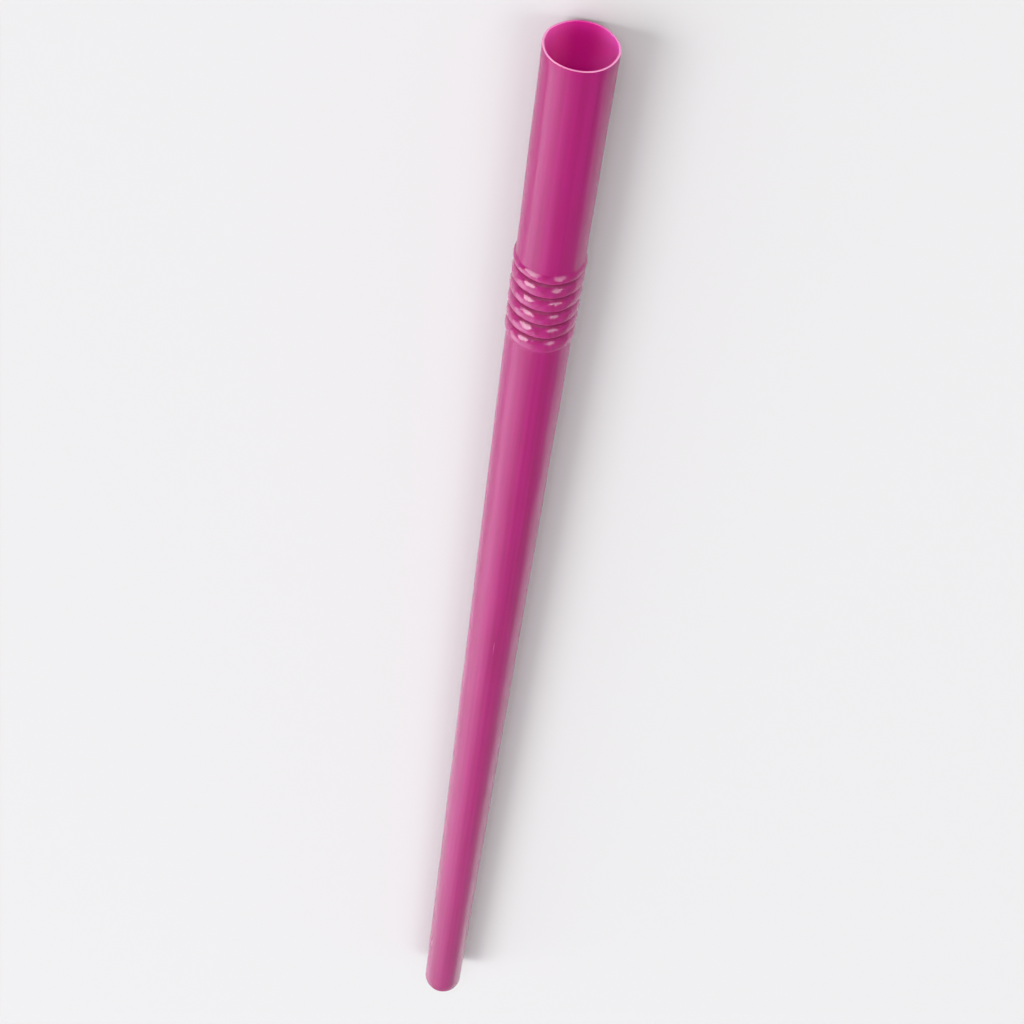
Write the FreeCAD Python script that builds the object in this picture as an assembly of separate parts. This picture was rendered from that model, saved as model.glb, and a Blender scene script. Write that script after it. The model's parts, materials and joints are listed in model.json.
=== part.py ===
import FreeCAD, Part

import math
import os

# Flexible drinking straw: one length of thin plastic tube, cut square at both ends.
# Near its mouth end the wall is rolled into a short run of ridges, where it bends.
# Each ridge has a long rounded side towards the mouth and a short steep one towards the stem.
# The straw lies along X as it comes to rest on a table, with its mouth towards +X.
# The table top is z = 0, and the origin is under the middle of the straw's length.
# All sizes are in millimetres, and angles in degrees from the straw's axis.

# Driving sizes of the plain tube
TUBE_DIAMETER = 6.0  # outside
WALL = 0.18  # thickness of the plastic along the tube; on the ridges' sides it is stretched thinner
OVERALL_LENGTH = 197.0  # from cut end to cut end
MOUTH_LENGTH = 21.4  # plain tube between the mouth and where the ridges begin

# Driving sizes of the ridges
RIDGE_COUNT = 6
RIDGE_PITCH = 1.7  # from crest to crest
FIRST_FLANK = 0.65  # from the plain mouth end up to the first crest
SHORT_FLANK = 0.55  # from a crest to the fold on its stem side; the long flank has the rest of the pitch
RIDGE_RISE = 0.2  # how far a crest stands out from the plain tube
FOLD_DEPTH = 0.3  # how far a fold lies below the plain tube
LONG_FLANK_ANGLE = 50.0  # where the long flank leaves a fold
SHORT_FLANK_ANGLE = 62.0  # where the short flank runs into a fold
STRAIGHT_SHARE = 0.3  # the straight foot of the short flank, as a share of its height

# Where the inside of the wall lies at the feet of the ridges, in wall thicknesses
FOLD_DROP = 1.45  # how far a fold's inside lies below its outside, since both its sides are steep
FOLD_SHIFT = 0.1  # how far it lies towards the mouth
LAST_FOOT_SHIFT = 0.5  # the same where the last ridge meets the stem

# How far each end of a flank's curve keeps its direction, as shares of the way between its ends
PULL_AT_FOLD = 0.20
PULL_BEFORE_CREST = 0.50
PULL_AFTER_CREST = 0.50
PULL_AT_FOOT = 0.45

tube_radius = TUBE_DIAMETER / 2
crest_height = tube_radius + RIDGE_RISE
fold_height = tube_radius - FOLD_DEPTH
mouth_x = OVERALL_LENGTH / 2
intake_x = -OVERALL_LENGTH / 2
ridges_start_x = mouth_x - MOUTH_LENGTH
first_crest_x = ridges_start_x - FIRST_FLANK
ridges_end_x = first_crest_x - (RIDGE_COUNT - 1) * RIDGE_PITCH - SHORT_FLANK
axis_z = crest_height  # the straw rests on its ridges


def section_point(x, height):
    """A point of the section, height being its distance from the straw's axis."""
    return FreeCAD.Vector(x, 0, height)


def straight(start, end):
    """A straight stretch of the section between two points, each given as x and height."""
    return Part.LineSegment(section_point(*start), section_point(*end)).toShape()


def curve(start, start_pull, end_pull, end):
    """A smooth curve of the section between two points, which leaves each towards its pull."""
    line = Part.BezierCurve()
    line.setPoles([section_point(*point) for point in (start, start_pull, end_pull, end)])
    return line.toBSpline().toShape()


def long_flank(low_x, low_height, crest_x, crest, angle):
    """A ridge's side towards the mouth, from its low point up to the crest."""
    run = low_x - crest_x
    pull = PULL_AT_FOLD * run
    leaving = (low_x - pull, low_height + pull * math.tan(math.radians(angle)))
    arriving = (crest_x + PULL_BEFORE_CREST * run, crest)
    return curve((low_x, low_height), leaving, arriving, (crest_x, crest))


def short_flank(crest_x, crest, low_x, low_height):
    """A ridge's side towards the stem, from the crest round to a straight foot in the fold."""
    steep = math.radians(SHORT_FLANK_ANGLE)
    foot_height = low_height + STRAIGHT_SHARE * (crest - low_height)
    foot_x = low_x + (foot_height - low_height) / math.tan(steep)
    pull = PULL_AT_FOOT * (crest - foot_height) / math.sin(steep)
    leaving = (crest_x - PULL_AFTER_CREST * (crest_x - foot_x), crest)
    arriving = (foot_x + pull * math.cos(steep), foot_height + pull * math.sin(steep))
    foot = (foot_x, foot_height)
    return [curve((crest_x, crest), leaving, arriving, foot), straight(foot, (low_x, low_height))]


def last_foot(depth):
    """Where the last ridge meets the stem, this deep under the outside of the wall."""
    return (ridges_end_x + LAST_FOOT_SHIFT * depth, tube_radius - depth)


def ridge(number, depth):
    """One ridge in section, this deep under the outside of the wall. The first is nearest the mouth."""
    crest_x = first_crest_x - number * RIDGE_PITCH
    crest = crest_height - depth
    far_x = crest_x - SHORT_FLANK + FOLD_SHIFT * depth
    fold = fold_height - FOLD_DROP * depth
    near = (far_x + RIDGE_PITCH, fold, LONG_FLANK_ANGLE)
    far = (far_x, fold)
    if number == 0:
        near = (ridges_start_x, tube_radius - depth, 0)
    if number == RIDGE_COUNT - 1:
        far = last_foot(depth)
    low_x, low_height, angle = near
    return [long_flank(low_x, low_height, crest_x, crest, angle), *short_flank(crest_x, crest, *far)]


def wall_line(depth):
    """The section's line this deep under the outside of the wall, from the mouth to the intake."""
    level = tube_radius - depth
    line = [straight((mouth_x, level), (ridges_start_x, level))]
    for number in range(RIDGE_COUNT):
        line += ridge(number, depth)
    line.append(straight(last_foot(depth), (intake_x, level)))
    return line


def cut_end(x):
    """The square cut across the wall at one end."""
    return straight((x, tube_radius), (x, tube_radius - WALL))


def make_straw():
    """The whole straw: its section turned about its axis, then set down on the table."""
    outline = wall_line(0) + wall_line(WALL) + [cut_end(intake_x), cut_end(mouth_x)]
    section = Part.Face(Part.Wire(Part.__sortEdges__(outline)))
    straw = section.revolve(FreeCAD.Vector(0, 0, 0), FreeCAD.Vector(1, 0, 0), 360)
    straw.translate(FreeCAD.Vector(0, 0, axis_z))
    return straw


os.makedirs("parts", exist_ok=True)
straw = make_straw()
straw.exportStep("parts/straw.step")
print("straw valid", straw.isValid(), "solids", len(straw.Solids), "volume", round(straw.Volume, 2))
print("stem length", round(ridges_end_x - intake_x, 3), "bore radius", round(tube_radius - WALL, 3))
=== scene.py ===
"""A flexible drinking straw of magenta plastic, lying on a pale table under soft studio light."""

import json
import math
from collections import namedtuple

import bpy
from mathutils import Matrix, Vector, noise


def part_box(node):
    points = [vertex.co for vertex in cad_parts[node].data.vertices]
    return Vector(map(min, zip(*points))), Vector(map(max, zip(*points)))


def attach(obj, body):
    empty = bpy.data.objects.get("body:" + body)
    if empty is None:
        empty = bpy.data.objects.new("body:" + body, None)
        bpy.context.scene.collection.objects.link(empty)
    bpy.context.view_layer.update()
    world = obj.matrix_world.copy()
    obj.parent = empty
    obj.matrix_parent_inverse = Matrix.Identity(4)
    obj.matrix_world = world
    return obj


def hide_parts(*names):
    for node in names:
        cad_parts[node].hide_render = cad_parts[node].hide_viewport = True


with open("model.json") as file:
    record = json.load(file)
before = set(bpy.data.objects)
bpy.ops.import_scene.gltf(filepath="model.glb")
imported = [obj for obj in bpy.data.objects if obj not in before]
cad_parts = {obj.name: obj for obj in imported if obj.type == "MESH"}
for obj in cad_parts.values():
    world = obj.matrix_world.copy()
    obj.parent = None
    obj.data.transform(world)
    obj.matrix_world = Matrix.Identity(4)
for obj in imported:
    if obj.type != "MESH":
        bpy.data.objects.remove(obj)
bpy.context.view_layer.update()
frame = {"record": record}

# Lengths are in metres and angles in radians. The straw lies along X, with its mouth towards +X.
MM = 0.001

# Sizes that come with the frame
mounts = {mount["name"]: mount["dims"] for mount in frame["record"]["mounts"]}
straw_low, straw_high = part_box("straw")
TUBE_RADIUS = mounts["stem"]["r_mm"] * MM
BORE_RADIUS = mounts["stem_bore"]["r_mm"] * MM
WALL = TUBE_RADIUS - BORE_RADIUS
MOUTH_X = straw_high.x
INTAKE_X = straw_low.x
AXIS_Z = (straw_low.z + straw_high.z) / 2
CREST_RADIUS = (straw_high.z - straw_low.z) / 2
RIDGES_START = MOUTH_X - mounts["mouth_end"]["length_mm"] * MM
RIDGES_END = INTAKE_X + mounts["stem"]["length_mm"] * MM

# The ridges, each with a long rounded side towards the mouth and a short steep one towards the stem
RIDGE_COUNT = 6
FIRST_FLANK = 0.65 * MM  # from the plain mouth end up to the first crest
SHORT_FLANK = 0.55 * MM  # from a crest to the fold on its stem side
RIDGE_PITCH = (RIDGES_START - RIDGES_END - FIRST_FLANK - SHORT_FLANK) / (RIDGE_COUNT - 1)
FOLD_DEPTH = 0.3 * MM  # below the plain tube
FOLD_RADIUS = TUBE_RADIUS - FOLD_DEPTH
LONG_FLANK_ANGLE = math.radians(50)  # where the long side leaves a fold
SHORT_FLANK_ANGLE = math.radians(62)  # where the short side runs into a fold
STRAIGHT_SHARE = 0.3  # the straight foot of the short side, as a share of its height

# Where the inside of the wall lies at the feet of the ridges, in wall thicknesses
FOLD_DROP = 1.45  # how far a fold's inside lies below its outside
FOLD_SHIFT = 0.1  # how far it lies towards the mouth
LAST_FOOT_SHIFT = 0.5  # the same where the last ridge meets the stem

# How far each end of a ridge's curve keeps its direction, as shares of the way between its ends
PULL_AT_FOLD = 0.20
PULL_BEFORE_CREST = 0.50
PULL_AFTER_CREST = 0.50
PULL_AT_FOOT = 0.45

# The mesh
ROUND_STEPS = 176
LONG_FLANK_STEPS = 12
SHORT_FLANK_STEPS = 9
MOUTH_STEP = 1.0 * MM
STEM_STEP = 2.2 * MM
CORNER = 0.05 * MM  # between the last ridge's foot and the stem's first ring
CUT_EDGE_RADIUS = 0.035 * MM
CUT_EDGE_STEPS = 3


def add_object(name, data):
    """Puts a new object with this data into the scene."""
    added = bpy.data.objects.new(name, data)
    bpy.context.scene.collection.objects.link(added)
    return added


def add_mesh(name, points, faces):
    """Puts a new mesh object into the scene."""
    mesh = bpy.data.meshes.new(name)
    mesh.from_pydata(points, [], faces)
    return add_object(name, mesh)


def curve(start, start_pull, end_pull, end, steps):
    """Points of a smooth curve of the section, without its start. Each point is an x and a radius."""
    points = []
    for step in range(1, steps + 1):
        t = step / steps
        weights = ((1 - t) ** 3, 3 * t * (1 - t) ** 2, 3 * t**2 * (1 - t), t**3)
        ends = (start, start_pull, end_pull, end)
        points.append(tuple(sum(weight * point[i] for weight, point in zip(weights, ends)) for i in (0, 1)))
    return points


def long_flank(low, crest, angle):
    """A ridge's side towards the mouth, from its low point up to the crest."""
    run = low[0] - crest[0]
    pull = PULL_AT_FOLD * run
    leaving = (low[0] - pull, low[1] + pull * math.tan(angle))
    arriving = (crest[0] + PULL_BEFORE_CREST * run, crest[1])
    return curve(low, leaving, arriving, crest, LONG_FLANK_STEPS)


def short_flank(crest, low):
    """A ridge's side towards the stem, from the crest round to a straight foot in the fold."""
    foot_radius = low[1] + STRAIGHT_SHARE * (crest[1] - low[1])
    foot_x = low[0] + (foot_radius - low[1]) / math.tan(SHORT_FLANK_ANGLE)
    pull = PULL_AT_FOOT * (crest[1] - foot_radius) / math.sin(SHORT_FLANK_ANGLE)
    pull_along = pull * math.cos(SHORT_FLANK_ANGLE)
    pull_out = pull * math.sin(SHORT_FLANK_ANGLE)
    leaving = (crest[0] - PULL_AFTER_CREST * (crest[0] - foot_x), crest[1])
    arriving = (foot_x + pull_along, foot_radius + pull_out)
    return curve(crest, leaving, arriving, (foot_x, foot_radius), SHORT_FLANK_STEPS) + [low]


def last_foot(depth):
    """Where the last ridge meets the stem, this deep under the outside."""
    return (RIDGES_END + LAST_FOOT_SHIFT * depth, TUBE_RADIUS - depth)


def ridge(number, depth):
    """One ridge in section, this deep under the outside. The first is nearest the mouth."""
    crest = (RIDGES_START - FIRST_FLANK - number * RIDGE_PITCH, CREST_RADIUS - depth)
    far = (crest[0] - SHORT_FLANK + FOLD_SHIFT * depth, FOLD_RADIUS - FOLD_DROP * depth)
    near, angle = (far[0] + RIDGE_PITCH, far[1]), LONG_FLANK_ANGLE
    if number == 0:
        near, angle = (RIDGES_START, TUBE_RADIUS - depth), 0
    if number == RIDGE_COUNT - 1:
        far = last_foot(depth)
    return long_flank(near, crest, angle) + short_flank(crest, far)


def even_steps(start, end, step):
    """Places from start to end, about this far apart, both ends included."""
    count = max(1, round(abs(end - start) / step))
    return [start + (end - start) * index / count for index in range(count + 1)]


def wall_line(depth):
    """The section's line this deep under the outside of the wall, from the mouth to the intake."""
    radius = TUBE_RADIUS - depth
    foot_x = last_foot(depth)[0]
    mouth_places = even_steps(MOUTH_X - CUT_EDGE_RADIUS, RIDGES_START, MOUTH_STEP)
    stem_places = even_steps(foot_x - CORNER, INTAKE_X + CUT_EDGE_RADIUS, STEM_STEP)
    ridges = [point for number in range(RIDGE_COUNT) for point in ridge(number, depth)]
    return [(x, radius) for x in mouth_places] + ridges + [(x, radius) for x in stem_places]


def cut_corner(x, radius, inward, outward):
    """The rounded corner of a cut edge, from the wall's face to the cut.

    inward is the way into the tube along X, and outward the way that the face looks: 1 away from the axis
    on the outside of the wall, and -1 towards the axis in the bore.
    """
    centre_x = x + inward * CUT_EDGE_RADIUS
    centre_radius = radius - outward * CUT_EDGE_RADIUS
    points = []
    for step in range(1, CUT_EDGE_STEPS + 1):
        turn = math.pi / 2 * step / CUT_EDGE_STEPS
        points.append((
            centre_x - inward * CUT_EDGE_RADIUS * math.sin(turn),
            centre_radius + outward * CUT_EDGE_RADIUS * math.cos(turn),
        ))
    return points


def section():
    """The straw's closed section: outside wall, intake cut, inside wall, mouth cut."""
    loop = wall_line(0)
    loop += cut_corner(INTAKE_X, TUBE_RADIUS, inward=1, outward=1)
    loop += cut_corner(INTAKE_X, BORE_RADIUS, inward=1, outward=-1)[::-1]
    loop += wall_line(WALL)[::-1]
    loop += cut_corner(MOUTH_X, BORE_RADIUS, inward=-1, outward=-1)
    loop += cut_corner(MOUTH_X, TUBE_RADIUS, inward=-1, outward=1)[::-1]
    return loop


# How a real straw of soft plastic departs from the ideal one
OVAL = 0.006  # of the radius
OVAL_TURN = 0.9  # the widest way across the middle of the straw, from +Z towards +Y
OVAL_TWIST = 60 * MM  # the length along which that way turns by a radian
RIDGE_LEAN = 0.012  # of the radius, how far a ridge is out of square
RIDGE_LEAN_WAY = 2.0  # the way in which it leans, from +Z towards +Y
RIDGE_LEAN_STEP = 1.7  # from one ridge to the next in the noise
RIDGE_LEAN_PLACE = (7.3, 0)
RIDGE_MARGIN = 0.5 * MM  # the fading of the ridges' unevenness, to each side of where they start and end
CUT_WAVE = 0.03 * MM  # of the mouth's cut edge
CUT_WAVE_FINENESS = 2.3
CUT_WAVE_PLACE = Vector((11, 0, 0))
CUT_WAVE_REACH = 0.6 * MM  # how far from the mouth it has died out
NICK_ANGLE = math.radians(230)
NICK_BREADTH = 0.05
NICK_DEPTH = 0.10 * MM

# Dents in its wall: their depth, their length along the tube and fineness round it, what is added to the
# noise to move them inwards, and the place in the noise that they are read from
Dents = namedtuple("Dents", "depth length fineness level place")
WAVES = Dents(depth=0.035 * MM, length=7.0 * MM, fineness=1.6, level=-0.3, place=(0, 0))
RIPPLES = Dents(depth=0.012 * MM, length=2.5 * MM, fineness=2.4, level=0, place=(5, 0))
PUCKERS = Dents(depth=0.030 * MM, length=0.5 * MM, fineness=6.0, level=0, place=(0, 3))  # of the ridges


def smooth_step(value, start, end):
    """0 before start, 1 after end, and a smooth rise between."""
    t = min(max((value - start) / (end - start), 0.0), 1.0)
    return t * t * (3 - 2 * t)


def ridge_share(x):
    """1 within the ridges and 0 on the plain tube."""
    past_stem = smooth_step(x, RIDGES_END - RIDGE_MARGIN, RIDGES_END + RIDGE_MARGIN)
    past_ridges = smooth_step(x, RIDGES_START - RIDGE_MARGIN, RIDGES_START + RIDGE_MARGIN)
    return past_stem * (1 - past_ridges)


def dented(dents, x, across, share=1):
    """How far dents of this kind move the wall away from the axis, at x on the side that across is on."""
    smooth_noise = noise.noise(Vector((x / dents.length, *dents.place)) + across * dents.fineness)
    return dents.depth * share * (smooth_noise + dents.level)


def uneven(x, radius, angle):
    """A point of the ideal straw, moved as a real one's soft plastic is. angle is from +Z towards +Y."""
    across = Vector((0, math.sin(angle), math.cos(angle)))
    ridged = ridge_share(x)
    drift = OVAL * TUBE_RADIUS * (math.cos(2 * (angle - OVAL_TURN - x / OVAL_TWIST)) - 1)
    drift += dented(WAVES, x, across)
    drift += dented(RIPPLES, x, across)
    drift += dented(PUCKERS, x, across, ridged)
    ridge_number = round((x - RIDGES_END) / RIDGE_PITCH)
    lean = noise.noise(Vector((ridge_number * RIDGE_LEAN_STEP, *RIDGE_LEAN_PLACE)))
    along = ridged * RIDGE_LEAN * lean * radius * math.cos(angle - RIDGE_LEAN_WAY)
    near_mouth = smooth_step(x, MOUTH_X - CUT_WAVE_REACH, MOUTH_X)
    wave = CUT_WAVE * (noise.noise(across * CUT_WAVE_FINENESS + CUT_WAVE_PLACE) - 1)
    nick = -NICK_DEPTH * math.exp(-(((angle - NICK_ANGLE) / NICK_BREADTH) ** 2))
    along += near_mouth * (wave + nick)
    return Vector((x + along, 0, AXIS_Z)) + across * (radius + drift)


def make_straw():
    """The straw as one closed mesh, its section turned about its axis."""
    loop = section()
    angles = [2 * math.pi * step / ROUND_STEPS for step in range(ROUND_STEPS)]
    points = [uneven(x, radius, angle) for x, radius in loop for angle in angles]
    faces = []
    for row in range(len(loop)):
        ring = row * ROUND_STEPS
        next_ring = (row + 1) % len(loop) * ROUND_STEPS
        for step in range(ROUND_STEPS):
            after = (step + 1) % ROUND_STEPS
            faces.append((ring + step, ring + after, next_ring + after, next_ring + step))
    straw = add_mesh("drinking_straw", points, faces)
    straw.data.polygons.foreach_set("use_smooth", [True] * len(faces))
    straw.data.update()
    return straw


class Wire:
    """A socket of a shader, on which sums, differences and products add their Math nodes."""

    def __init__(self, shader, socket):
        self.shader = shader
        self.socket = socket

    def maths(self, operation, *values):
        """A Math node that works on these values."""
        return self.shader.node("ShaderNodeMath", {"operation": operation}, dict(enumerate(values)))

    def vector_maths(self, operation, *values, output="Vector"):
        """A Vector Math node that works on this vector and these values."""
        sockets = dict(enumerate((self, *values)))
        return self.shader.node("ShaderNodeVectorMath", {"operation": operation}, sockets, output)

    def component(self, letter):
        """The X, Y or Z of this vector."""
        return self.shader.node("ShaderNodeSeparateXYZ", {}, {"Vector": self}, letter)

    def __add__(self, other):
        return self.maths("ADD", self, other)

    __radd__ = __add__

    def __sub__(self, other):
        return self.maths("SUBTRACT", self, other)

    def __rsub__(self, other):
        return self.maths("SUBTRACT", other, self)

    def __mul__(self, other):
        return self.maths("MULTIPLY", self, other)

    __rmul__ = __mul__

    def __abs__(self):
        return self.maths("ABSOLUTE", self)


class Shader:
    """The nodes of one material, lamp or world."""

    def __init__(self, owner):
        owner.use_nodes = True
        self.tree = owner.node_tree
        self.tree.nodes.clear()

    def node(self, kind, settings, sockets, output=0):
        """Adds a node with its settings, then the values or links of its sockets. Gives one output."""
        node = self.tree.nodes.new(kind)
        for name, value in settings.items():
            setattr(node, name, value)
        for name, value in sockets.items():
            if isinstance(value, Wire):
                self.tree.links.new(value.socket, node.inputs[name])
            else:
                node.inputs[name].default_value = value
        return Wire(self, node.outputs[output]) if node.outputs else None


def blend(share, first, second):
    """The first colour where share is 0, the second where it is 1."""
    first, second = (end if isinstance(end, Wire) else (*end, 1) for end in (first, second))
    sockets = {"Factor": share, "A": first, "B": second}
    return share.shader.node("ShaderNodeMix", {"data_type": "RGBA"}, sockets, "Result")


def fade(value, start, end):
    """0 where value is at start, 1 where it is at end, and a smooth step between."""
    sockets = {"Value": value, "From Min": start, "From Max": end}
    return value.shader.node("ShaderNodeMapRange", {"interpolation_type": "SMOOTHSTEP"}, sockets)


def larger(first, second):
    """The larger of two values."""
    return first.maths("MAXIMUM", first, second)


# The plastic's colours, with painted shade in the folds and painted light in the bore and on the cut edge
MAGENTA = (0.44, 0.010, 0.20)
DEEP_MAGENTA = (0.37, 0.007, 0.155)  # between the paler streaks
# Painted shade: a dark colour laid into the folds, where shade falls between the ridges
FOLD_SHADE_MAGENTA = (0.22, 0.001, 0.06)
FOLD_SHADE_SHARE = 0.9  # how much of the painted shade shows at the bottom of the folds
INSIDE_GLOW_MAGENTA = (0.70, 0.016, 0.34)  # along the top and the bottom of the bore, brighter than the outside: a painted glow for the light that the thin wall lets into the bore
INSIDE_SIDE_GLOW = (0.92, 0.15, 0.61)  # along its two sides: a paler painted glow, where light comes through the side walls
SIDE_GLOW_START = 0.15 * BORE_RADIUS  # how far to the side of its middle the painted side glow begins
# The cut edge's paler colour is partly stress-whitened plastic and partly a painted highlight along the rim
CUT_PINK = (0.97, 0.44, 0.68)
CUT_SHARE = 0.42  # how much of the cut's pink shows round the whole cut edge
CUT_SIDE_HIGHLIGHT = 0.42  # how much more of it at the two sides: a painted highlight
CUT_TOP_HIGHLIGHT = 0.27  # how much more at the top, and less at the bottom: painted light from above and painted shade below

# Its streaks and grain
STREAK_STRETCH = (30.0, 2600.0, 2600.0)  # the streaks' fineness along the tube and across it
STREAK_DETAIL = 3.0
STREAK_START = 0.25  # the noise where a pale streak begins
STREAK_FULL = 0.75
GRAIN_FINENESS = 3800.0
GRAIN_DETAIL = 2.0

# Where its finishes, and its painted shade and light, change
FACING_MARGIN = 0.2 * TUBE_RADIUS  # how far a face looks out, or in, before it is all outside, or inside
RIDGED_STEM_MARGIN = 0.3 * MM  # past the last ridge, where the ridges' finish fades out
RIDGED_MOUTH_MARGIN = 0.5 * MM  # from the start of the first ridge until it is full
FOLD_START = 0.04 * MM  # above the plain tube, where the painted shade of the folds, and their dullness, begin
CUT_FACING_START = 0.6  # how squarely a cut edge looks along X
CUT_FACING_FULL = 0.9
CUT_START = 0.4 * MM  # how far from the end of the tube the cut edge's paler colour, partly a painted highlight, begins
CUT_FULL = 0.3 * MM
STEM_FACING_FULL = -0.25  # the X of the way that a ridge's stem side looks, where it is fully dull

# Its gloss and relief
INSIDE_ROUGHNESS = 0.45
OUTSIDE_GLOSS = 0.31  # how much smoother the outside is
STREAK_ROUGHNESS = 0.05  # how much rougher the pale streaks are
DULL_ROUGHNESS = 0.4  # how much rougher the folds and the ridges' stem sides are
RIDGE_COAT = 0.8  # the gloss over the ridges
STREAK_RELIEF = 0.15  # the relief of the streaks and of the grain, as shares of the bump's distance
GRAIN_RELIEF = 0.09
RIDGE_GRAIN_RELIEF = 4.0  # how much more the grain has on the ridges


def magenta_plastic():
    """Thin glossy plastic, faintly streaked along the tube, with painted shade in the folds, a painted glow
    inside the bore, and a cut edge that is paler, partly as whitened plastic and partly as a painted
    highlight.
    """
    material = bpy.data.materials.new("magenta_plastic")
    shader = Shader(material)
    place = shader.node("ShaderNodeTexCoord", {}, {}, "Object")
    facing = shader.node("ShaderNodeTexCoord", {}, {}, "Normal")
    along = place.component("X")
    from_axis = place.vector_maths("MULTIPLY_ADD", (0, 1, 1), (0, 0, -AXIS_Z))
    height = from_axis.vector_maths("LENGTH", output="Value")
    outward = facing.vector_maths("DOT_PRODUCT", from_axis, output="Value")
    outside = fade(outward, -FACING_MARGIN, FACING_MARGIN)
    stretched = place.vector_maths("MULTIPLY", STREAK_STRETCH)
    drawn = shader.node(
        "ShaderNodeTexNoise", {}, {"Vector": stretched, "Scale": 1.0, "Detail": STREAK_DETAIL}
    )
    streaks = fade(drawn, STREAK_START, STREAK_FULL)
    grain = shader.node(
        "ShaderNodeTexNoise", {}, {"Vector": place, "Scale": GRAIN_FINENESS, "Detail": GRAIN_DETAIL}
    )
    past_stem = fade(along, RIDGES_END - RIDGED_STEM_MARGIN, RIDGES_END)
    ridged = past_stem * fade(along, RIDGES_START, RIDGES_START - RIDGED_MOUTH_MARGIN)

    in_fold = outside * fade(height, TUBE_RADIUS + FOLD_START, FOLD_RADIUS)
    body = blend(streaks, DEEP_MAGENTA, MAGENTA)
    # Painted shade: the folds are darkened in the colour, where shade falls between the ridges
    fold_shaded = blend(FOLD_SHADE_SHARE * in_fold, body, FOLD_SHADE_MAGENTA)
    sideways = abs(from_axis.component("Y"))
    # Painted light: the bore's wall is lit up in its colour, paler towards its two sides
    inside = blend(fade(sideways, SIDE_GLOW_START, BORE_RADIUS), INSIDE_GLOW_MAGENTA, INSIDE_SIDE_GLOW)
    wall = blend(outside, inside, fold_shaded)
    mouthward = facing.component("X")
    at_end = fade(abs(along), MOUTH_X - CUT_START, MOUTH_X - CUT_FULL)
    cut = fade(abs(mouthward), CUT_FACING_START, CUT_FACING_FULL) * at_end
    upwards = from_axis.component("Z")
    # Painted highlight on the cut edge: stronger at its sides and top, weaker at its bottom
    side_highlight = (CUT_SIDE_HIGHLIGHT / TUBE_RADIUS) * sideways
    top_highlight = (CUT_TOP_HIGHLIGHT / TUBE_RADIUS) * upwards
    colour = blend(cut * (CUT_SHARE + side_highlight + top_highlight), wall, CUT_PINK)

    stem_side = outside * ridged * fade(mouthward, 0.0, STEM_FACING_FULL)
    dull = larger(stem_side, in_fold)
    relief = STREAK_RELIEF * streaks + grain * (GRAIN_RELIEF + RIDGE_GRAIN_RELIEF * ridged)
    bump = shader.node("ShaderNodeBump", {}, {"Height": relief, "Strength": 0.5, "Distance": 0.01 * MM})
    gloss = OUTSIDE_GLOSS - STREAK_ROUGHNESS * streaks - DULL_ROUGHNESS * dull
    plastic = shader.node(
        "ShaderNodeBsdfPrincipled",
        {},
        {
            "Base Color": colour,
            "Roughness": INSIDE_ROUGHNESS - outside * gloss,
            "IOR": 1.49,
            "Normal": bump,
            "Specular IOR Level": 0.4,
            "Coat Weight": RIDGE_COAT * ridged * (1 - dull),
            "Coat Roughness": 0.1,
            "Subsurface Weight": 1.0,
            "Subsurface Radius": (0.8, 0.15, 0.5),
            "Subsurface Scale": 0.35 * MM,
        },
    )
    shader.node("ShaderNodeOutputMaterial", {}, {"Surface": plastic})
    return material


TABLE_HALF = 12.0  # from its middle to an edge
TABLE_WHITE = 0.69


def table_white():
    """The pale, dull finish of the table top."""
    material = bpy.data.materials.new("table_white")
    shader = Shader(material)
    colour = (TABLE_WHITE, TABLE_WHITE, TABLE_WHITE, 1)
    surface = shader.node("ShaderNodeBsdfPrincipled", {}, {"Base Color": colour, "Roughness": 0.9})
    shader.node("ShaderNodeOutputMaterial", {}, {"Surface": surface})
    return material


def make_table():
    """A wide flat table top at z = 0."""
    corners = [(x * TABLE_HALF, y * TABLE_HALF, 0) for x, y in ((-1, -1), (1, -1), (1, 1), (-1, 1))]
    table = add_mesh("table_top", corners, [(0, 1, 2, 3)])
    table.data.materials.append(table_white())


HORIZON_LIGHT = 0.5  # how bright the surroundings are along the horizon, 1 being white
ROOM_LIGHT = 0.35  # how bright they are overhead
HORIZON_EDGE = 0.02  # the sine of the height at which the light of the horizon begins to fade
HORIZON_RISE = 0.16  # the sine of the height at which it has faded


def light_world():
    """Surroundings that are pale along the horizon and dim overhead."""
    world = bpy.data.worlds.new("studio")
    bpy.context.scene.world = world
    shader = Shader(world)
    direction = shader.node("ShaderNodeTexCoord", {}, {}, "Generated")
    low = 1 - fade(direction.component("Z"), HORIZON_EDGE, HORIZON_RISE)
    strength = ROOM_LIGHT + (HORIZON_LIGHT - ROOM_LIGHT) * low
    surroundings = shader.node("ShaderNodeBackground", {}, {"Color": (1, 1, 1, 1), "Strength": strength})
    shader.node("ShaderNodeOutputWorld", {}, {"Surface": surroundings})


FAR_LAMP_DISTANCE = 3.0  # where a far lamp's object hangs, which its light doesn't depend on

# The large panel of light: where it hangs, how large and bright it is, and how its light fades
PANEL_DIRECTION = Vector((-0.75, 0.38, 0.54)).normalized()
PANEL_DISTANCE = 4.5
PANEL_RISE = 9.6  # its size from the table up and over the straw
PANEL_LENGTH = 4.8  # its size along the straw
PANEL_BRIGHTNESS = 2.5
PANEL_COLOUR = (0.96, 0.88, 1.0, 1)
PANEL_TOP_DARK = 0.85  # the share of its rise above which it is dark
PANEL_TOP_FULL = 0.15  # the share of its rise below which the top's fading isn't felt
PANEL_FAR_LIGHT = 0.15  # how much light is left at the end far from the mouth
PANEL_FAR_FULL = 0.5  # the share of its length, from there, at which the light is full


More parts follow.
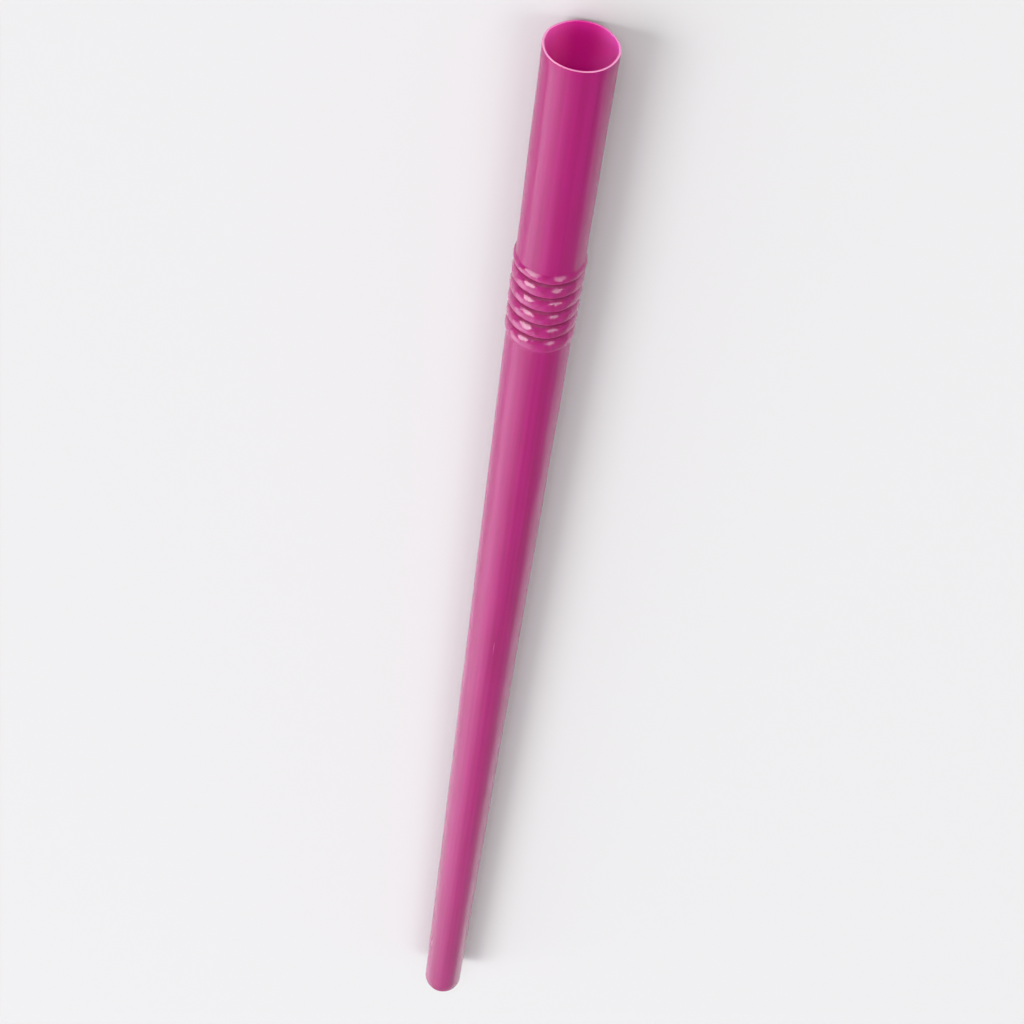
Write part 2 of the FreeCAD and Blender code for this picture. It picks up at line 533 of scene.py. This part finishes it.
def hang_lamp(lamp, direction, distance):
    """Hangs a lamp in this direction from the straw, facing it."""
    holder = add_object(lamp.name, lamp)
    way = Vector(direction).normalized()
    holder.location = way * distance
    holder.rotation_mode = "QUATERNION"
    holder.rotation_quaternion = way.to_track_quat("Z", "Y")
    holder.visible_camera = False
    return holder


def far_lamp(name, direction, breadth, share):
    """A round soft lamp, far off, this many degrees broad.

    share is what part of full white it alone would give the table.
    """
    lamp = bpy.data.lights.new(name, "SUN")
    lamp.angle = math.radians(breadth)
    lamp.energy = share * math.pi / Vector(direction).normalized().z
    hang_lamp(lamp, direction, FAR_LAMP_DISTANCE)


def long_panel():
    """A large sheet of light beyond the stem, which rises on its +Y side and leans over it.

    The light fades towards the panel's top and towards its end far from the mouth.
    """
    lamp = bpy.data.lights.new("long_panel", "AREA")
    lamp.shape = "RECTANGLE"
    lamp.size = PANEL_RISE
    lamp.size_y = PANEL_LENGTH
    lamp.energy = PANEL_BRIGHTNESS * math.pi * PANEL_RISE * PANEL_LENGTH
    shader = Shader(lamp)
    on_panel = shader.node("ShaderNodeNewGeometry", {}, {}, "Parametric")
    low = fade(on_panel.component("X"), PANEL_TOP_DARK, PANEL_TOP_FULL)
    near = fade(on_panel.component("Y"), 0.0, PANEL_FAR_FULL)
    strength = low * (PANEL_FAR_LIGHT + (1 - PANEL_FAR_LIGHT) * near)
    glow = shader.node("ShaderNodeEmission", {}, {"Color": PANEL_COLOUR, "Strength": strength})
    shader.node("ShaderNodeOutputLight", {}, {"Surface": glow})
    holder = hang_lamp(lamp, PANEL_DIRECTION, PANEL_DISTANCE)
    along = (Vector((1, 0, 0)) - PANEL_DIRECTION * PANEL_DIRECTION.x).normalized()
    across = along.cross(PANEL_DIRECTION)
    holder.rotation_quaternion = Matrix((across, along, PANEL_DIRECTION)).transposed().to_quaternion()


def make_lamps():
    """Three far lamps to the sides and in front, and the panel beyond the stem."""
    far_lamp("left_lamp", direction=(-0.02, 0.68, 0.73), breadth=32, share=0.36)
    far_lamp("right_lamp", direction=(0.00, -0.56, 0.83), breadth=30, share=0.17)
    far_lamp("front_lamp", direction=(0.80, 0.08, 0.59), breadth=40, share=0.23)
    long_panel()


# Where the camera stands, and how it is turned
SIGHT_TO_AXIS = math.radians(51.6)  # between the straw's axis and the way from the mouth to the camera
CAMERA_TO_MOUTH = 126 * MM
CAMERA_DIP = math.radians(35.6)  # how steeply the middle of the view looks down
LEAN = math.radians(8.5)  # how far the straw leans over in the view
FOCAL_PIXELS = 1645  # the focal length, in the pixels of the frame
FRAME_PIXELS = 1024  # the frame's width
SENSOR_WIDTH = 36.0  # in millimetres, as Blender has it
NEAREST_SEEN = 0.005
FURTHEST_SEEN = 20.0


def make_camera():
    """A camera beyond and above the mouth, which looks back along the straw. The mouth is at the top."""
    data = bpy.data.cameras.new("camera")
    data.sensor_fit = "HORIZONTAL"
    data.sensor_width = SENSOR_WIDTH
    data.lens = SENSOR_WIDTH * FOCAL_PIXELS / FRAME_PIXELS
    data.clip_start = NEAREST_SEEN
    data.clip_end = FURTHEST_SEEN
    camera = add_object("camera", data)
    mouth = Vector((MOUTH_X, 0, AXIS_Z))
    eye = mouth + CAMERA_TO_MOUTH * Vector((math.cos(SIGHT_TO_AXIS), 0, math.sin(SIGHT_TO_AXIS)))
    sight = Vector((-math.cos(CAMERA_DIP), 0, -math.sin(CAMERA_DIP)))
    straight_up = Vector((math.sin(CAMERA_DIP), 0, -math.cos(CAMERA_DIP)))
    straight_right = sight.cross(straight_up)
    up = straight_up * math.cos(LEAN) - straight_right * math.sin(LEAN)
    right = sight.cross(up)
    turn = Matrix((right, up, -sight)).transposed()
    camera.matrix_world = Matrix.Translation(eye) @ turn.to_4x4()
    bpy.context.scene.camera = camera


straw = make_straw()
straw.data.materials.append(magenta_plastic())
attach(straw, "root")
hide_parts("straw")

make_table()
light_world()
make_lamps()
make_camera()
bpy.context.scene.view_settings.view_transform = "Standard"
